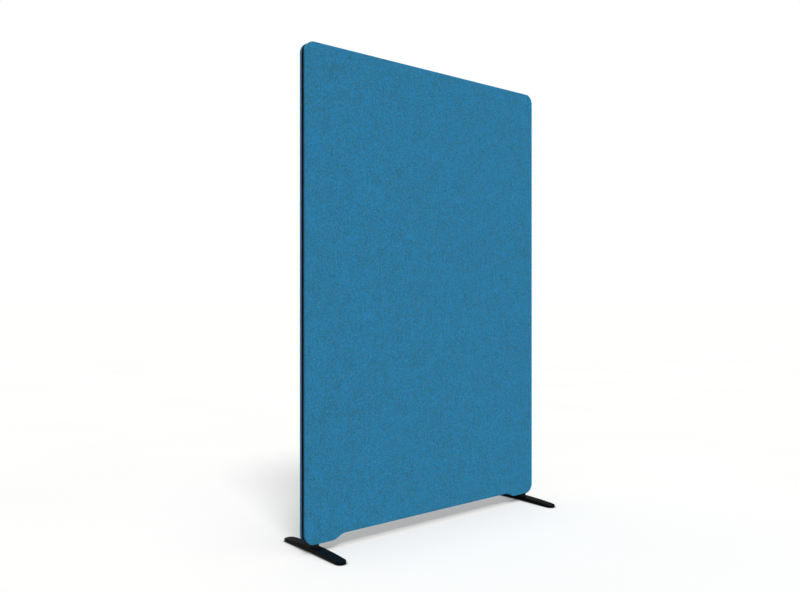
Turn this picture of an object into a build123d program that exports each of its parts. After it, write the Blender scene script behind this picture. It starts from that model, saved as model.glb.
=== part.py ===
from build123d import *
import math
import os

# Free-standing acoustic floor screen: a fabric-covered panel on two arched steel feet.
# X runs along the panel, Y through its thickness with the front at -Y, and Z up.
# The origin is on the floor under the middle of the panel. All sizes are in millimetres.

# Panel outline
panel_width = 1000.0
panel_top = 1500.0  # floor to the top edge
panel_thickness = 30.0
floor_gap = 25.0  # floor to the lower edge above each foot
corner_radius = 32.0
notch_rise = 15.0  # the lower edge steps up by this between the feet
notch_inset = 119.5  # end of the panel to the middle of the step
notch_blend_radius = 52.0

# Fabric cover and the wadding under it
fabric_thickness = 1.0
cover_edge_bevel = 1.0  # the felt lies tight round the panel's crisp edges
under_edge_share = 0.4  # bevel of the layers below, of the cover's own
wadding_thickness = 2.0
layer_ease = 0.2  # slack between the cover and what it is pulled over
hem_width = 2.8
seam_gap = 0.05  # between layers that are sewn together

# Zip that runs up one side, across the top and down the other
zip_gap_width = 11.0  # distance between the two fabric edges
zip_tape_thickness = 0.6
zip_slit_width = 1.6  # between the two tapes, where the slider's post runs
coil_width = 2.2
coil_recess = 0.2  # the coils lie this far under the fabric's face
zip_groove_depth = 4.0
zip_groove_ease = 0.2
zip_end_clearance = 2.0  # from the zip's end to the spacer over each foot
zip_stop_length = 3.0
zip_stop_height_over_coil = 0.2
zip_stop_width_over_coil = 0.4

# Zip slider and its pull
slider_length = 10.5
slider_width = 8.6
slider_mouth_width = 6.8
slider_corner_radius = 1.6
slider_plate_thickness = 1.1
slider_wall = 1.0
slider_running_gap = 0.3
slider_post_width = 0.8
slider_post_length = 3.4
slider_park_gap = 2.0  # from the stops to the slider when the zip is closed
bail_length = 5.6
bail_width = 2.0
bail_height = 2.5
pull_bar_diameter = 1.3
pull_bar_play = 0.07
pull_side_play = 0.3
pull_arm_width = 1.2
pull_thickness = 1.2
pull_length = 27.0
pull_tab_width = 7.0
pull_tab_round = 2.8
pull_window_length = 6.5
pull_hole_diameter = 3.0
pull_hole_inset = 4.2

# Wooden frame
stile_width = 45.0
top_rail_height = 45.0
bottom_rail_height = 60.0
middle_rail_height = 40.0
core_ease = 0.3
dowel_width = 24.0
dowel_thickness = 8.0
dowel_length = 44.0
dowel_bevel = 1.5
dowel_ease = 0.1

# Arched foot
foot_inset = 40.0  # end of the panel to the middle of the foot
foot_length = 300.0
foot_width = 34.0
foot_end_thickness = 7.2
foot_crown = 7.4  # rise of the top between end and middle
foot_arch = 4.2  # rise of the underside between its end pads and the middle
foot_land_length = 32.0
foot_top_bevel = 0.4
glide_diameter = 20.0
glide_thickness = 2.0
glide_proud = 0.4
glide_ease = 0.1

# Swivel joint between foot and panel
spacer_diameter = 30.0
spacer_seat_depth = 0.2
seat_ease = 0.3
spigot_diameter = 16.0
spigot_running_gap = 0.05
foot_web_thickness = 5.2
foot_end_play = 0.05
bolt_diameter = 8.0
bolt_hole_ease = 0.2
bolt_length = 50.0
bolt_head_diameter = 14.0
bolt_head_height = 3.7
bolt_head_bevel = 2.0
bolt_socket_width = 5.0
bolt_socket_depth = 2.0
bolt_tip_bevel = 0.8
washer_diameter = 20.0
washer_thickness = 1.2
counterbore_ease = 1.0
insert_diameter = 12.0
insert_length = 22.0
thread_ease = 0.1
bolt_hole_overrun = 4.0

# All cutters reach this far past the faces that they cut
overrun = 5.0

# Levels and places that follow from the sizes above
cover_inset = fabric_thickness
frame_inset = fabric_thickness + layer_ease
under_cover_half = panel_thickness / 2 - fabric_thickness
under_edge_bevel = under_edge_share * cover_edge_bevel
frame_half = under_cover_half - wadding_thickness
panel_half = panel_width / 2
foot_x = panel_half - foot_inset
zip_gap_half = zip_gap_width / 2
hem_outer_half = zip_gap_half + hem_width
groove_half = hem_outer_half + zip_groove_ease
groove_inset = fabric_thickness + zip_groove_depth
hem_inset = 2 * fabric_thickness
tape_outer_inset = hem_inset + seam_gap
tape_inner_inset = tape_outer_inset + zip_tape_thickness
slit_half = zip_slit_width / 2
coil_outer_half = slit_half + coil_width
zip_end_x = foot_x + spacer_diameter / 2 + zip_end_clearance
stop_top = floor_gap + corner_radius + zip_stop_length
slider_low = stop_top + slider_park_gap
slider_middle = slider_low + slider_length / 2
bottom_rail_top = floor_gap + bottom_rail_height
top_rail_low = panel_top - top_rail_height
field_half = panel_half - stile_width
middle_rail_middle = (bottom_rail_top + top_rail_low) / 2
foot_end_top = glide_proud + foot_end_thickness
foot_crown_top = foot_end_top + foot_crown
foot_seat = foot_crown_top - spacer_seat_depth
web_underside = foot_seat - foot_web_thickness
spacer_shoulder = foot_seat + foot_end_play
spigot_end = web_underside - foot_end_play
washer_underside = spigot_end - washer_thickness
bolt_tip = washer_underside + bolt_length
bolt_hole_radius = bolt_diameter / 2 + bolt_hole_ease
counterbore_radius = washer_diameter / 2 + counterbore_ease
glide_place = foot_length / 2 - foot_width / 2


def slab(face, y_from, y_to):
    """Extrude a face drawn as width by height between two depths."""
    return extrude(Plane.XZ.offset(-y_to) * face, amount=y_to - y_from, dir=(0, -1, 0))


def region(x_from, x_to, z_from, z_to, half_depth=panel_thickness):
    """A plain box that marks off a part of the panel."""
    size_x, size_z = x_to - x_from, z_to - z_from
    middle = Pos((x_from + x_to) / 2, 0, (z_from + z_to) / 2)
    return middle * Box(size_x, 2 * half_depth, size_z)


def rod(x, y, z_from, z_to, radius):
    """An upright cylinder."""
    return Pos(x, y, z_from) * Cylinder(radius, z_to - z_from, align=(Align.CENTER, Align.CENTER, Align.MIN))


def on_circle(centre, radius, angle):
    """A point on a circle, with the angle in radians."""
    return (centre[0] + radius * math.cos(angle), centre[1] + radius * math.sin(angle))


def arc(centre, radius, start, end):
    """An arc between two angles in radians."""
    middle = (start + end) / 2
    return ThreePointArc(*(on_circle(centre, radius, angle) for angle in (start, middle, end)))


def panel_face(inset):
    """The panel's outline drawn inward by inset.

    The lower edge steps up between the feet through two arcs that touch each other.
    Every arc keeps its centre, so outlines with other insets stay parallel.
    """
    half = panel_half - inset
    top = panel_top - inset
    low = floor_gap + inset
    high = low + notch_rise
    corner = corner_radius - inset
    corner_x = panel_half - corner_radius
    upper_centre = (corner_x, panel_top - corner_radius)
    lower_centre = (corner_x, floor_gap + corner_radius)
    turn = math.acos(1 - notch_rise / (2 * notch_blend_radius))
    half_run = notch_blend_radius * math.sin(turn)
    step_x = panel_half - notch_inset
    outer_blend = (step_x + half_run, floor_gap + notch_blend_radius)
    inner_blend = (step_x - half_run, floor_gap + notch_rise - notch_blend_radius)
    down, up = -math.pi / 2, math.pi / 2
    right_half = [
        Line((0, top), (corner_x, top)),
        arc(upper_centre, corner, up, 0),
        Line((half, upper_centre[1]), (half, lower_centre[1])),
        arc(lower_centre, corner, 0, down),
        Line((corner_x, low), (outer_blend[0], low)),
        arc(outer_blend, notch_blend_radius - inset, down, down - turn),
        arc(inner_blend, notch_blend_radius + inset, up - turn, up),
        Line((inner_blend[0], high), (0, high)),
    ]
    left_half = [mirror(edge, about=Plane.YZ) for edge in right_half]
    return make_face(right_half + left_half)


def front_and_back_rims(body):
    """The edges all round the front face and the back face of a slab."""
    return body.faces().filter_by(Axis.Y).edges()


def bevelled_block(inset):
    """The body that lies inside the fabric, drawn inward by inset, with its rims bevelled."""
    body = slab(panel_face(inset), -under_cover_half, under_cover_half)
    return chamfer(front_and_back_rims(body), under_edge_bevel)


def edge_band(outer_inset, inner_inset, y_from, y_to):
    """A band that follows the panel's edge all round."""
    ring = panel_face(outer_inset) - panel_face(inner_inset)
    return slab(ring, y_from, y_to)


def below_zip(end_x):
    """The stretch of the lower edge, between two ends, that the zip leaves free."""
    return region(-end_x, end_x, 0, floor_gap + notch_rise + groove_inset + overrun)


def zip_band(outer_inset, inner_inset, y_from, y_to):
    """A band that follows the panel's edge as far as the zip does."""
    return edge_band(outer_inset, inner_inset, y_from, y_to) - below_zip(zip_end_x)


def under_cover():
    """All that the cover is pulled over, as one body."""
    return bevelled_block(frame_inset)


def front_cover():
    """Front fabric half: face, bevelled rim, edge strip with a hem, and half the lower seam."""
    outside = slab(panel_face(0), -panel_thickness / 2, panel_thickness / 2)
    outside = chamfer(front_and_back_rims(outside), cover_edge_bevel)
    shell = outside - bevelled_block(cover_inset)
    front = shell & slab(Rectangle(2 * panel_width, 3 * panel_top), -panel_thickness, 0)
    front -= zip_band(-overrun, hem_inset + overrun, -zip_gap_half, overrun)
    front += zip_band(cover_inset, hem_inset, -hem_outer_half, -zip_gap_half)
    for x in (-foot_x, foot_x):
        front -= rod(x, 0, floor_gap - overrun, floor_gap + overrun, bolt_hole_radius)
    return front


def front_zip_tape():
    """Woven strip that is sewn under the hem."""
    return zip_band(tape_outer_inset, tape_inner_inset, -hem_outer_half, -slit_half)


def coil_run(height_inset, y_from, y_to):
    """A band along the coils, from the closed stop on the left to the end stops on the right."""
    run = edge_band(height_inset, tape_outer_inset, y_from, y_to)
    run -= below_zip(zip_end_x)
    return run - region(0, panel_width, 0, floor_gap + corner_radius)


def coil_ends():
    """The two stretches at the ends of the zip that its stops take."""
    left_reach = zip_end_x + zip_stop_length
    left = below_zip(left_reach) & region(-panel_width, 0, 0, panel_top)
    right = region(0, panel_width, 0, stop_top)
    return left, right


def front_zip_coil():
    """One coil of the zip as a plain bead of the coil's outer size."""
    left, right = coil_ends()
    return coil_run(coil_recess, -coil_outer_half, -slit_half) - left - right


def zip_stops():
    """The closed stop that joins both coils at the left, and two end stops at the right."""
    left, right = coil_ends()
    outer_half = coil_outer_half + zip_stop_width_over_coil
    clamp = coil_run(coil_recess - zip_stop_height_over_coil, -outer_half, outer_half)
    closed_stop = clamp & left
    slit = region(0, panel_width, 0, panel_top, slit_half)
    end_stops = (clamp & right) - slit
    return list(closed_stop.solids()) + list(end_stops.solids())


def slider_outline(length, wide, narrow):
    """Shield shape of the slider: wide where the coils part, narrow where they leave closed."""
    half = length / 2
    shield = Polygon(
        (-wide / 2, -half),
        (wide / 2, -half),
        (wide / 2, 0),
        (narrow / 2, half),
        (-narrow / 2, half),
        (-wide / 2, 0),
        align=None,
    )
    by_height = shield.vertices().group_by(Axis.Y)
    return fillet(by_height[0] + by_height[-1], slider_corner_radius)


def outward(face, from_panel, thickness):
    """Extrude a face on the right-hand edge, away from the panel."""
    edge_plane = Plane(origin=(panel_half + from_panel, 0, slider_middle), x_dir=(0, 1, 0), z_dir=(1, 0, 0))
    return extrude(edge_plane * face, amount=thickness, dir=(1, 0, 0))


def bail_axis():
    """How far the pull's bar lies from the panel's edge."""
    plate_top = slider_running_gap - coil_recess + slider_plate_thickness
    return plate_top + bail_height / 2


def slider():
    """Cast slider: two plates, a post between the coils, side walls and the bail for the pull."""
    plate_low = slider_running_gap - coil_recess
    plate_top = plate_low + slider_plate_thickness
    outline = slider_outline(slider_length, slider_width, slider_mouth_width)
    inner_outline = offset(outline, -slider_wall)
    upper_plate = outward(outline, plate_low, slider_plate_thickness)
    wall_depth = tape_outer_inset - slider_running_gap + plate_low
    walls = outward(outline - inner_outline, plate_low - wall_depth, wall_depth)
    mouth_width = 2 * (coil_outer_half + slider_running_gap)
    passage = outward(Rectangle(mouth_width, 2 * slider_length), plate_low - wall_depth, wall_depth)
    lower_top = -tape_inner_inset - slider_running_gap
    lower_plate = outward(outline, lower_top - slider_plate_thickness, slider_plate_thickness)
    post_face = Pos(0, (slider_post_length - slider_length) / 2) * SlotOverall(
        slider_post_length, slider_post_width, rotation=90
    )
    post = outward(post_face, lower_top, plate_low - lower_top)
    bail_foot = (panel_half + plate_top, -bail_width / 2, slider_middle)
    bail_side = Plane(origin=bail_foot, x_dir=(0, 0, 1), z_dir=(0, 1, 0))
    bail_face = Pos(0, bail_height / 2) * Rectangle(bail_length, bail_height)
    bail_face = fillet(bail_face.vertices().group_by(Axis.Y)[-1], bail_height / 2)
    bail_face -= Pos(0, bail_height / 2) * Circle(pull_bar_diameter / 2 + pull_bar_play)
    bail = extrude(bail_side * bail_face, amount=bail_width)
    return upper_plate + (walls - passage) + lower_plate + post + bail


def pull():
    """Pull tab that hangs from the bail: a bar, two arms and a tapered tab with a hole."""
    axis_out = bail_axis()
    window_width = bail_width + 2 * pull_side_play
    loop_width = window_width + 2 * pull_arm_width
    bar_radius = pull_bar_diameter / 2
    tab = Polygon(
        (-loop_width / 2, 0),
        (loop_width / 2, 0),
        (loop_width / 2, -pull_window_length),
        (pull_tab_width / 2, -pull_length),
        (-pull_tab_width / 2, -pull_length),
        (-loop_width / 2, -pull_window_length),
        align=None,
    )
    tab = fillet(tab.vertices().group_by(Axis.Y)[0], pull_tab_round)
    window = Pos(0, -pull_window_length / 2) * Rectangle(window_width, pull_window_length)
    tab -= window
    tab -= Pos(0, pull_hole_inset - pull_length) * Circle(pull_hole_diameter / 2)
    plate = outward(tab, axis_out - pull_thickness / 2, pull_thickness)
    bar = Pos(panel_half + axis_out, 0, slider_middle) * Rot(90, 0, 0) * Cylinder(bar_radius, loop_width)
    return plate + bar


def frame_body():
    """The whole wooden frame before it is divided, with its zip groove and bolt holes."""
    body = under_cover() & slab(Rectangle(2 * panel_width, 3 * panel_top), -frame_half, frame_half)
    body -= zip_band(-overrun, groove_inset, -groove_half, groove_half)
    for x in (-foot_x, foot_x):
        low = floor_gap - overrun
        body -= rod(x, 0, low, bolt_tip + bolt_hole_overrun, bolt_hole_radius)
        body -= rod(x, 0, low, floor_gap + frame_inset + insert_length, insert_diameter / 2 + thread_ease)
    return body - in_frame_joints(flat_dowel(dowel_ease))


def flat_dowel(ease=0):
    """A flat dowel that stands on end, or its mortise when given some ease."""
    return Box(dowel_width + 2 * ease, dowel_thickness + 2 * ease, dowel_length + 2 * ease)


def in_frame_joints(upright):
    """Copies of an upright shape in the six joints of the frame, lying down at the middle rail."""
    stile_x = panel_half - stile_width / 2
    copies = []
    for side in (-1, 1):
        for level in (bottom_rail_top, top_rail_low):
            copies.append(Pos(side * stile_x, 0, level) * upright)
        copies.append(Pos(side * field_half, 0, middle_rail_middle) * Rot(0, 90, 0) * upright)
    return copies


def frame_dowels():
    """One flat dowel in each joint of the frame, bevelled at both ends."""
    dowel = flat_dowel()
    return in_frame_joints(chamfer(dowel.faces().filter_by(Axis.Z).edges(), dowel_bevel))


def frame_pieces():
    """Rails over the full width, stiles between them, and a middle rail between the stiles."""
    body = frame_body()
    half = panel_width
    rail_half = middle_rail_height / 2
    return {
        "top_rail": body & region(-half, half, top_rail_low, panel_top),
        "bottom_rail": body & region(-half, half, 0, bottom_rail_top),
        "left_stile": body & region(-half, -field_half, bottom_rail_top, top_rail_low),
        "right_stile": body & region(field_half, half, bottom_rail_top, top_rail_low),
        "middle_rail": body
        & region(-field_half, field_half, middle_rail_middle - rail_half, middle_rail_middle + rail_half),
    }


def core(z_from, z_to):
    """Sound-absorbing slab that fills one field of the frame."""
    side = field_half - core_ease
    return region(-side, side, z_from + core_ease, z_to - core_ease, frame_half)


def front_wadding():
    """Thin soft layer over the front of frame and cores."""
    return under_cover() & slab(Rectangle(2 * panel_width, 3 * panel_top), -under_cover_half, -frame_half)


def foot():
    """Arched bar with half-round ends, spot-faced on top and counterbored from below."""
    half = foot_length / 2
    land_end = half - foot_land_length
    side = make_face(
        [
            ThreePointArc((-half, foot_end_top), (0, foot_crown_top), (half, foot_end_top)),
            Line((half, foot_end_top), (half, glide_proud)),
            Line((half, glide_proud), (land_end, glide_proud)),
            ThreePointArc((land_end, glide_proud), (0, glide_proud + foot_arch), (-land_end, glide_proud)),
            Line((-land_end, glide_proud), (-half, glide_proud)),
            Line((-half, glide_proud), (-half, foot_end_top)),
        ]
    )
    arch = extrude(Plane.YZ * side, amount=foot_width / 2, both=True)
    plan = extrude(SlotOverall(foot_length, foot_width, rotation=90), amount=foot_crown_top + overrun)
    bar = arch & plan
    upper_rim = bar.faces().sort_by(Axis.Z)[-1].outer_wire().edges()
    bar = chamfer(upper_rim, foot_top_bevel)
    bar -= rod(0, 0, foot_seat, foot_crown_top + overrun, spacer_diameter / 2 + seat_ease)
    bar -= rod(0, 0, 0, foot_crown_top + overrun, spigot_diameter / 2 + spigot_running_gap)
    bar -= rod(0, 0, 0, web_underside, counterbore_radius)
    for y in (-glide_place, glide_place):
        bar -= rod(0, y, 0, glide_thickness, glide_diameter / 2 + glide_ease)
    return bar


def glides():
    """Two thin round pads in the recesses under the foot's ends."""
    return [rod(0, y, 0, glide_thickness, glide_diameter / 2) for y in (-glide_place, glide_place)]


def spacer():
    """Turned distance piece with a spigot that the foot turns on."""
    collar = rod(0, 0, spacer_shoulder, floor_gap, spacer_diameter / 2)
    spigot = rod(0, 0, spigot_end, spacer_shoulder, spigot_diameter / 2)
    return collar + spigot - rod(0, 0, 0, floor_gap + overrun, bolt_hole_radius)


def washer():
    """Flat washer between the bolt's head and the spigot."""
    disc = rod(0, 0, washer_underside, spigot_end, washer_diameter / 2)
    return disc - rod(0, 0, 0, floor_gap, bolt_hole_radius)


def bolt():
    """Low-head bolt with a hexagon socket, driven from under the foot."""
    head_low = washer_underside - bolt_head_height
    head = rod(0, 0, head_low, washer_underside, bolt_head_diameter / 2)
    head = chamfer(head.faces().sort_by(Axis.Z)[0].edges(), bolt_head_bevel)
    shank = rod(0, 0, washer_underside, bolt_tip, bolt_diameter / 2)
    shank = chamfer(shank.faces().sort_by(Axis.Z)[-1].edges(), bolt_tip_bevel)
    socket = extrude(RegularPolygon(bolt_socket_width / math.sqrt(3), 6), amount=bolt_socket_depth)
    return head + shank - Pos(0, 0, head_low) * socket


def threaded_insert():
    """Sleeve in the bottom rail that a foot bolt screws into."""
    low = floor_gap + frame_inset
    sleeve = rod(0, 0, low, low + insert_length, insert_diameter / 2)
    sleeve -= rod(0, 0, 0, panel_top, bolt_diameter / 2 + thread_ease)
    return sleeve


def at_both_feet(shape):
    """Two like pieces that share a node, one above each foot."""
    return [Pos(x, 0, 0) * shape for x in (-foot_x, foot_x)]


def left_and_right(name, solids):
    """The pieces of the left foot and those of the right foot, in a node for each side."""
    places = {"left": -foot_x, "right": foot_x}
    return {f"{side}_{name}": [Pos(x, 0, 0) * solid for solid in solids] for side, x in places.items()}


def front_and_back(name, shape):
    """A front piece and its mirror image at the back."""
    return {f"front_{name}": shape, f"back_{name}": mirror(shape, about=Plane.XZ)}


def build():
    """Every sub-part under its name."""
    rail_half = middle_rail_height / 2
    nodes = {}
    nodes.update(front_and_back("cover", front_cover()))
    nodes.update(front_and_back("wadding", front_wadding()))
    nodes.update(front_and_back("zip_tape", front_zip_tape()))
    nodes.update(front_and_back("zip_coil", front_zip_coil()))
    nodes["zip_stops"] = zip_stops()
    nodes["zip_slider"] = slider()
    nodes["zip_pull"] = pull()
    nodes.update(frame_pieces())
    nodes["frame_dowels"] = frame_dowels()
    nodes["lower_core"] = core(bottom_rail_top, middle_rail_middle - rail_half)
    nodes["upper_core"] = core(middle_rail_middle + rail_half, top_rail_low)
    nodes["threaded_inserts"] = at_both_feet(threaded_insert())
    nodes["spacers"] = at_both_feet(spacer())
    nodes["washers"] = at_both_feet(washer())
    nodes["foot_bolts"] = at_both_feet(bolt())
    nodes.update(left_and_right("foot", [foot()]))
    nodes.update(left_and_right("glides", glides()))
    return nodes


def as_compound(shape):
    """One shape to write, also where a sub-part is a group of separate solids."""
    solids = [solid for piece in (shape if isinstance(shape, list) else [shape]) for solid in piece.solids()]
    return solids[0] if len(solids) == 1 else Compound(children=solids)


os.makedirs("parts", exist_ok=True)
for node_name, node_shape in build().items():
    export_step(as_compound(node_shape), f"parts/{node_name}.step")
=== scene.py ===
"""Looks of a free-standing floor screen: a felt-covered panel with a zip round its edge, on two arched feet.

Everything is in metres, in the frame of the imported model: X runs along the panel, Y through its
thickness with the front at -Y, Z up, and the origin lies on the floor under the middle.
"""

import logging
import math
from dataclasses import dataclass, field
from enum import Enum
from typing import ClassVar

import bmesh
import bpy
import numpy as np
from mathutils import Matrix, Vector


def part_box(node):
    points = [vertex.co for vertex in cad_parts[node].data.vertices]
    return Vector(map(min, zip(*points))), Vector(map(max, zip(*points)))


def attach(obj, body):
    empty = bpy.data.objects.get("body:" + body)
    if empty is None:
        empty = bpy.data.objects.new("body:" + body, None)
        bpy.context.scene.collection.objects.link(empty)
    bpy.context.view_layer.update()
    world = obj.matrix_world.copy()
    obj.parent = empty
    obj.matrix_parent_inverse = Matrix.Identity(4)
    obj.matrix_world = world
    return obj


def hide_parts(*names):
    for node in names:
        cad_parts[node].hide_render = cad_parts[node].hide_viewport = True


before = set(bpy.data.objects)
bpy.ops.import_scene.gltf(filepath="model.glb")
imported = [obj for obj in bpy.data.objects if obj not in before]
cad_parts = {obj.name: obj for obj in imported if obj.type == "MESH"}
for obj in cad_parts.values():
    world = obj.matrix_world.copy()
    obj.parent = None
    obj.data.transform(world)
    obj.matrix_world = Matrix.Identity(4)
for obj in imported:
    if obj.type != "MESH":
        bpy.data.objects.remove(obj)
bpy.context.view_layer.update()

LOG = logging.getLogger("floor_screen")
MM = 0.001

Pair, Triple = tuple[float, float], tuple[float, float, float]
Piece = bpy.types.Object


class Side(Enum):
    """The two halves of the cover, by the direction of Y that each faces."""

    FRONT = -1.0
    BACK = 1.0

    @property
    def word(self) -> str:
        """The half's name, as the pieces use it."""
        return self.name.lower()


class Grain(Enum):
    """The direction that the wood's grain runs in, as the share of each axis in its pattern."""

    ALONG_X = (0.06, 1.0, 1.0)
    ALONG_Z = (1.0, 1.0, 0.06)


# ---- Materials ----


Node, Socket = bpy.types.Node, bpy.types.NodeSocket
Settings, Links = dict[str | int, object], dict[str | int, Socket]

# The mix node has its sockets once for each kind of value: these are the ones for numbers and colours.
NUMBER_A, NUMBER_B = 2, 3
COLOUR_A, COLOUR_B, MIXED_COLOUR = 6, 7, 2


def linear(hex_colour: str) -> tuple[float, float, float, float]:
    """Turn an sRGB colour into the linear one that shaders take.

    Args:
        hex_colour: Six hexadecimal digits, with or without a leading hash.

    Returns:
        Linear red, green and blue, and an alpha of one.
    """
    digits = hex_colour.lstrip("#")
    channels = [int(digits[place : place + 2], 16) / 255 for place in (0, 2, 4)]
    toned = [c / 12.92 if c <= 0.04045 else ((c + 0.055) / 1.055) ** 2.4 for c in channels]
    return (*toned, 1.0)


WHITE, BLACK = linear("#FFFFFF"), linear("#000000")


def per_metre(millimetres: float) -> float:
    """The scale of a pattern whose features are that many millimetres across."""
    return 1000.0 / millimetres


def add_node(
    tree: bpy.types.NodeTree, kind: str, settings: Settings | None = None, links: Links | None = None
) -> Node:
    """Add one node to a material.

    Args:
        tree: The material's node tree.
        kind: The node's type without the leading ShaderNode.
        settings: Values of attributes or, where there is no such attribute, of input sockets.
        links: Input sockets by name or number, with the output that feeds each.

    Returns:
        The new node.
    """
    node = tree.nodes.new("ShaderNode" + kind)
    for key, value in (settings or {}).items():
        if isinstance(key, str) and hasattr(node, key):
            setattr(node, key, value)
        else:
            node.inputs[key].default_value = value
    for socket, source in (links or {}).items():
        tree.links.new(source, node.inputs[socket])
    return node


@dataclass(frozen=True)
class SurfaceNodes:
    """The nodes of one material, and the steps that most finishes are made of."""

    tree: bpy.types.NodeTree
    even: ClassVar[Triple] = (1.0, 1.0, 1.0)
    bands_per_unit: ClassVar[float] = 6.0  # light and dark ones, in a wave pattern
    edge_samples: ClassVar[int] = 6

    @property
    def shader(self) -> Node:
        """The material's principled shader."""
        return self.tree.nodes["Principled BSDF"]

    def add(self, kind: str, settings: Settings | None = None, links: Links | None = None) -> Node:
        """Add a node, as add_node does."""
        return add_node(self.tree, kind, settings, links)

    def feed(self, links: dict[str, Socket], values: dict[str, object]) -> None:
        """Feed patterns and constant values into the shader's own sockets.

        Args:
            links: Socket names, with the output that feeds each.
            values: Socket names and their values.
        """
        for socket, source in links.items():
            self.tree.links.new(source, self.shader.inputs[socket])
        for socket, value in values.items():
            self.shader.inputs[socket].default_value = value

    def place(self, stretch: Triple = even) -> Socket:
        """The point on the piece, in metres, stretched along the axes where a pattern is not even.

        Args:
            stretch: Factor for each axis.

        Returns:
            The output that holds the point.
        """
        where = self.add("TexCoord").outputs["Object"]
        if stretch == self.even:
            return where
        return self.add("Mapping", {"Scale": stretch}, {"Vector": where}).outputs["Vector"]

    def noise(self, point: Socket, size_mm: float, **settings: object) -> Socket:
        """One irregular pattern from 0 to 1, by where it is seen and how large its features are."""
        values = {"Scale": per_metre(size_mm), "Detail": 2.0, **settings}
        return self.add("TexNoise", values, {"Vector": point}).outputs["Fac"]

    def wave(self, point: Socket, size_mm: float, **settings: object) -> Socket:
        """One pattern of bands from 0 to 1, by where it is seen and how wide a light or dark band is."""
        values = {"Scale": per_metre(size_mm) / self.bands_per_unit, **settings}
        return self.add("TexWave", values, {"Vector": point}).outputs["Fac"]

    def mix(self, share: float, first: Socket, second: Socket) -> Socket:
        """Mix two patterns, with that share of the second."""
        sources = {NUMBER_A: first, NUMBER_B: second}
        return self.add("Mix", {"data_type": "FLOAT", 0: share}, sources).outputs["Result"]

    def ramp(self, pattern: Socket, *stops: tuple[float, str]) -> Socket:
        """Turn a pattern into colours.

        Args:
            pattern: What sets the place on the ramp.
            stops: Places from 0 to 1, each with its sRGB colour.

        Returns:
            The output that holds the colour.
        """
        node = self.add("ValToRGB", {}, {"Fac": pattern})
        elements = node.color_ramp.elements
        while len(elements) < len(stops):
            elements.new(0.5)
        for element, (position, colour) in zip(elements, sorted(stops)):
            element.position = position
            element.color = linear(colour)
        return node.outputs["Color"]

    def spread(
        self, pattern: Socket, low: float = 0.0, high: float = 1.0, start: float = 0.0, end: float = 1.0
    ) -> Socket:
        """Spread what lies between a pattern's start and end over the values from low to high."""
        settings = {"From Min": start, "From Max": end, "To Min": low, "To Max": high}
        return self.add("MapRange", settings, {"Value": pattern}).outputs["Result"]

    def relief(self, height: Socket, strength: float, depth: float, soft_edge: float = 0.0) -> Socket:
        """Raise a pattern from the surface.

        Args:
            height: The pattern.
            strength: How much of its depth shows.
            depth: Its depth, in metres.
            soft_edge: Radius to which light rounds the piece's edges, in metres, if any.

        Returns:
            The output that holds the bent normal.
        """
        links = {"Height": height}
        if soft_edge:
            rounding = {"samples": self.edge_samples, "Radius": soft_edge}
            links["Normal"] = self.add("Bevel", rounding).outputs["Normal"]
        return self.add("Bump", {"Strength": strength, "Distance": depth}, links).outputs["Normal"]


@dataclass(frozen=True)
class Finish:
    """What all materials share: a name and a main colour, which also stands for them in a solid view."""

    name: str = "finish"
    colour: str = "#808080"

    def material(self) -> bpy.types.Material:
        """Make the material at the first call, and share it after that.

        Returns:
            The material.
        """
        made = bpy.data.materials.get(self.name)
        if made is None:
            made = bpy.data.materials.new(self.name)
            made.use_nodes = True
            made.diffuse_color = linear(self.colour)
            self.shade(SurfaceNodes(made.node_tree))
        return made

    def shade(self, nodes: SurfaceNodes) -> None:
        """Set the shader up. Each finish does this in its own way."""
        raise NotImplementedError


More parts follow.
